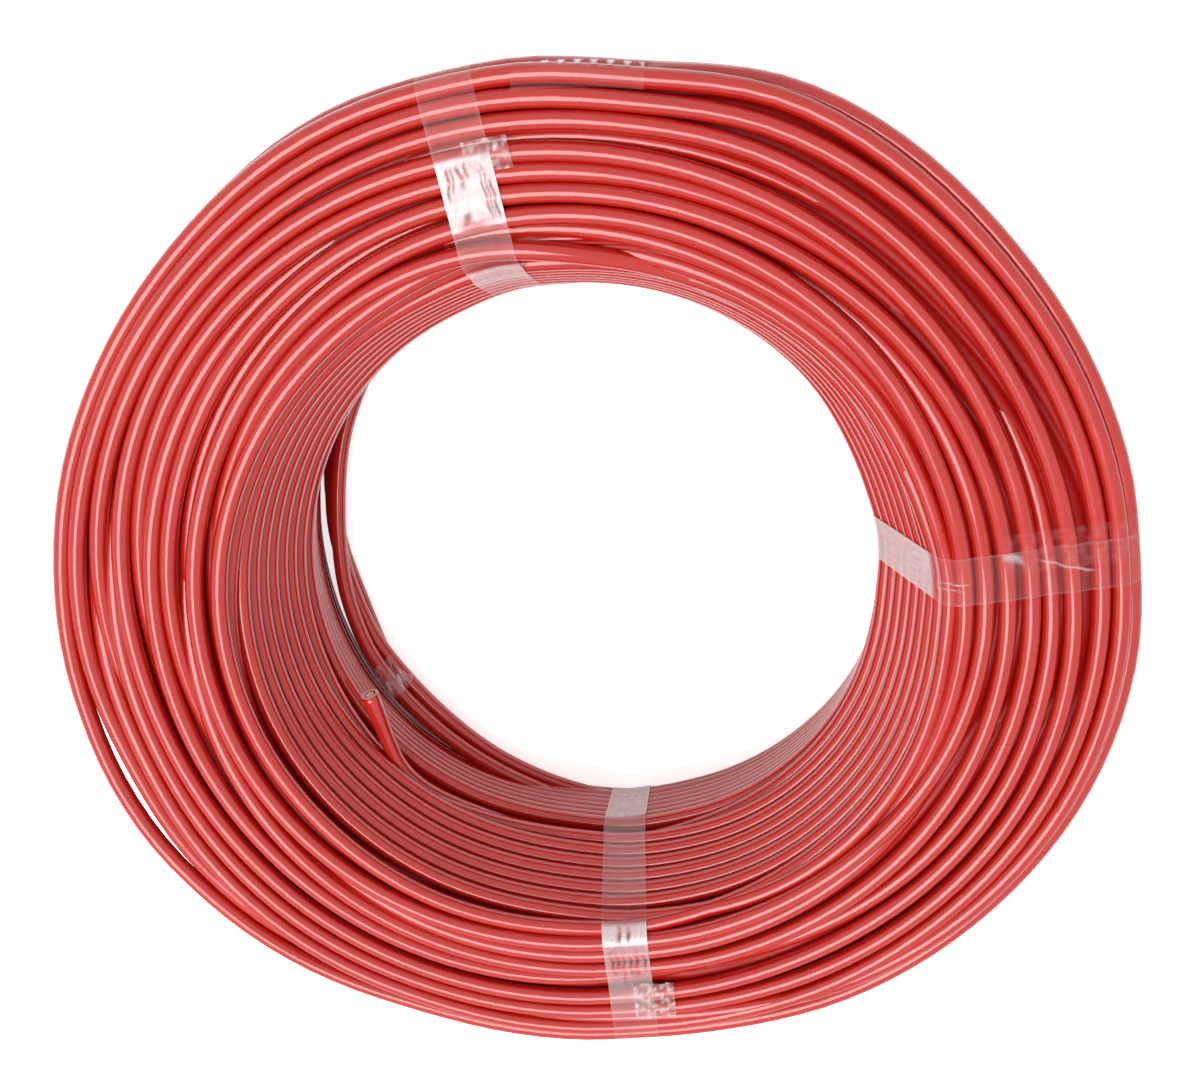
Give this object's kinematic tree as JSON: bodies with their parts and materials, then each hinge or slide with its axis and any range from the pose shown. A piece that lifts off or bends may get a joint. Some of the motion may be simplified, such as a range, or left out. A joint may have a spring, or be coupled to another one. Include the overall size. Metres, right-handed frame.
{
  "type": "wire coil",
  "caption": "Ring-shaped coil of insulated electrical wire with an hourglass bore, held by bands of clear tape, with its inner end free and its strands showing.",
  "frame": {"origin": "centre of the coil's bore, on the surface that its back face lies on", "axes": "+Z along the coil's axis, out of the face that shows; +X and +Y in the back face, with +Y towards the top of the picture"},
  "size_m": [0.2, 0.2, 0.057],
  "materials": {
    "insulation": "extruded PVC insulation, saturated red, smooth and glossy",
    "tape": "clear packing film, glossy, with milky creases",
    "strands": "bright drawn conductor strands, cut square"
  },
  "bodies": {
    "root": {"coil_core": "insulation", "wound_turns": "insulation", "loose_turn_1": "insulation", "loose_turn_2": "insulation", "tail_insulation": "insulation", "tape_band_1": "tape", "tape_band_2": "tape", "tape_band_3": "tape", "outer_end_tape": "tape", "loose_turn_tape": "tape", "strand_centre": "strands", "strand_1": "strands", "strand_2": "strands", "strand_3": "strands", "strand_4": "strands", "strand_5": "strands", "strand_6": "strands"}
  },
  "joints": []
}
